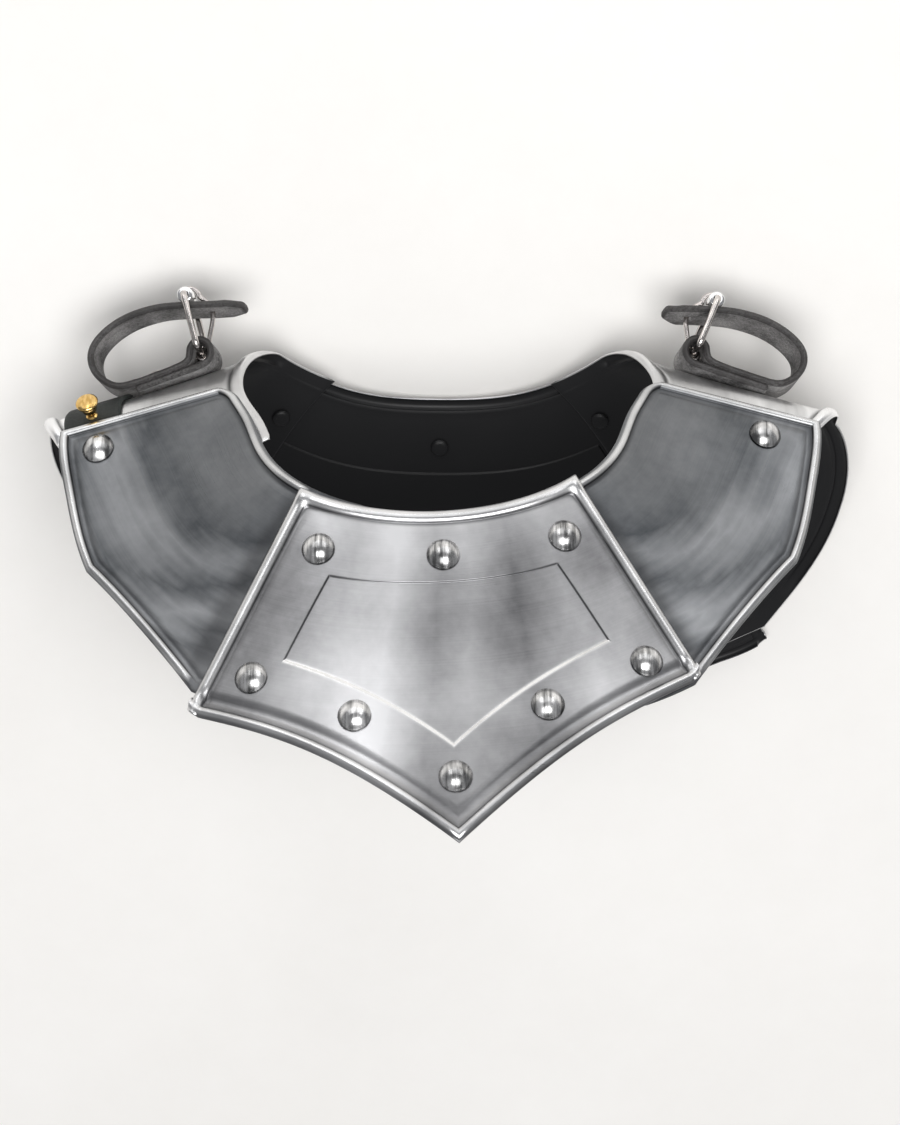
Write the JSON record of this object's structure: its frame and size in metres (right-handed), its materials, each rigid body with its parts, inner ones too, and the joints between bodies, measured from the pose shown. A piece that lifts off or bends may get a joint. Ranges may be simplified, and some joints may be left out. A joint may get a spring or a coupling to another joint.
{
  "type": "steel gorget",
  "caption": "Steel gorget of riveted front and back plates with rolled edges and a pressed panel, a buckled leather strap on each shoulder and a leather tab held by a brass stud.",
  "frame": {"origin": "middle of the footprint at the floor, with the gorget lying on its back", "axes": "+X across the shoulders to the right of the picture, +Y towards the head, +Z from the back half up to the front half"},
  "size_m": [0.3396, 0.2312, 0.2549],
  "materials": {
    "steel": "satin outside, painted black inside",
    "polished_steel": "polished",
    "nickel": "nickel-plated wire",
    "leather": "grained, dark grey",
    "tab_leather": "smooth, near black",
    "brass": "polished"
  },
  "bodies": {
    "root": {"back_centre_plate": "steel", "back_left_plate": "steel", "back_right_plate": "steel", "front_centre_plate": "steel", "front_left_plate": "steel", "front_right_plate": "steel", "front_centre_rivet_1": "polished_steel", "front_centre_rivet_2": "polished_steel", "front_centre_rivet_3": "polished_steel", "front_centre_rivet_4": "polished_steel", "front_centre_rivet_5": "polished_steel", "front_centre_rivet_6": "polished_steel", "front_centre_rivet_7": "polished_steel", "front_centre_rivet_8": "polished_steel", "back_centre_rivet_1": "polished_steel", "back_centre_rivet_2": "polished_steel", "back_centre_rivet_3": "polished_steel", "back_centre_rivet_4": "polished_steel", "back_centre_rivet_5": "polished_steel", "back_centre_rivet_6": "polished_steel", "back_centre_rivet_7": "polished_steel", "back_centre_rivet_8": "polished_steel", "front_left_rivet": "polished_steel", "front_right_rivet": "polished_steel", "left_strap_rivet": "nickel", "left_buckle_frame": "nickel", "left_roller": "nickel", "left_prong": "nickel", "right_strap_rivet": "nickel", "right_buckle_frame": "nickel", "right_roller": "nickel", "right_prong": "nickel", "left_strap": "leather", "right_strap": "leather", "closure_tab": "tab_leather", "tab_stud": "brass"}
  },
  "joints": []
}
